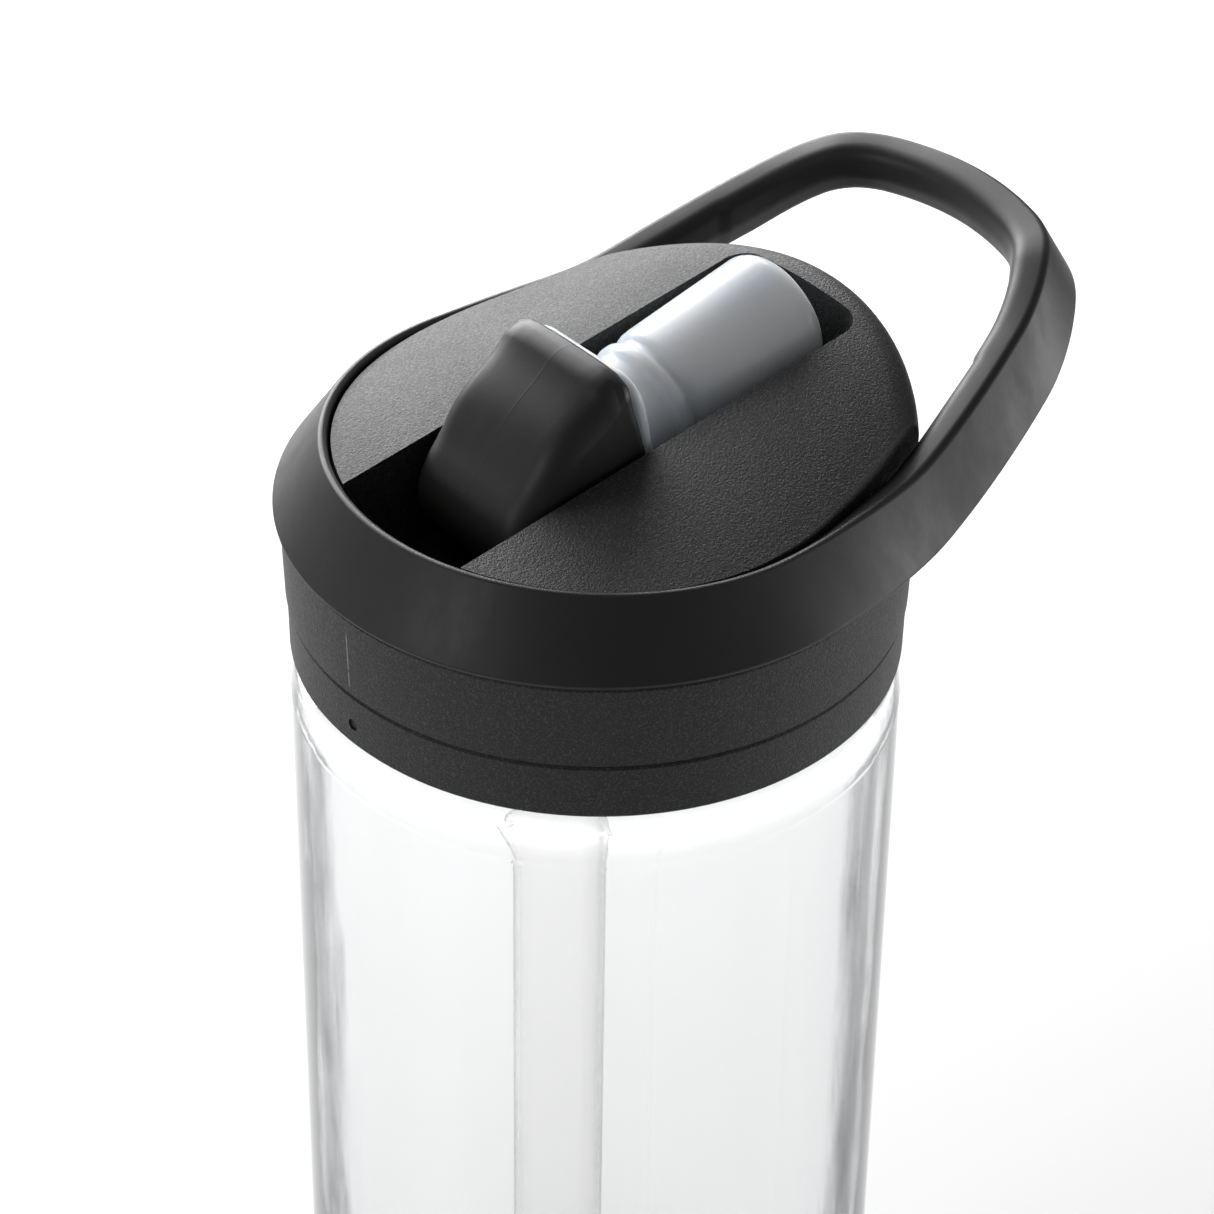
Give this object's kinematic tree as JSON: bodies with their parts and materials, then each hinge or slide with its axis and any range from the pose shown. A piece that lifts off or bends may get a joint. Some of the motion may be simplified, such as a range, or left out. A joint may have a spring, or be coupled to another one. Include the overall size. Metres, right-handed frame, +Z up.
{
  "type": "water bottle",
  "caption": "Clear cylindrical water bottle with a black screw lid, a rigid teardrop carry loop and a flip-up spout with a frosted silicone bite valve.",
  "frame": {"origin": "centre of the flat ring that the bottle stands on", "axes": "+Z up along the bottle's axis, +X from the axis towards the carry loop, +Y across the spout's channel"},
  "size_m": [0.1026, 0.0762, 0.2479],
  "materials": {
    "clear_body": "clear, polished, thick wall",
    "grained_black": "fine spark-eroded grain, matte",
    "satin_black": "smooth satin",
    "milky_tube": "translucent, smooth",
    "frosted_silicone": "frosted, translucent",
    "grey_silicone": "satin silicone"
  },
  "bodies": {
    "bottle": {"bottle_body": "clear_body"},
    "seal": {"lid_gasket": "grey_silicone"},
    "lid": {"lid_base": "grained_black", "cap_shell": "grained_black", "carry_handle": "satin_black", "straw": "milky_tube", "spout_seal": "grey_silicone", "vent_valve": "grey_silicone"},
    "spout": {"flip_spout": "satin_black", "spout_stem": "milky_tube", "bite_valve": "frosted_silicone"}
  },
  "joints": [
    {"name": "cap_lift", "type": "slide", "parent": "bottle", "child": "seal", "axis": [0, 0, 1], "range_m": [0, 0.0051]},
    {"name": "cap_turn", "type": "hinge", "parent": "seal", "child": "lid", "pos_m": [0, 0, 0.206], "axis": [0, 0, 1], "range_deg": [0, 450]},
    {"name": "spout_flip", "type": "hinge", "parent": "lid", "child": "spout", "pos_m": [-0.0126, 0, 0.2303], "axis": [0, -1, 0], "range_deg": [0, 90]}
  ],
  "couplings": [
    {"joint": "cap_lift", "follows": "cap_turn", "m_per_rad": 0.00063662}
  ]
}
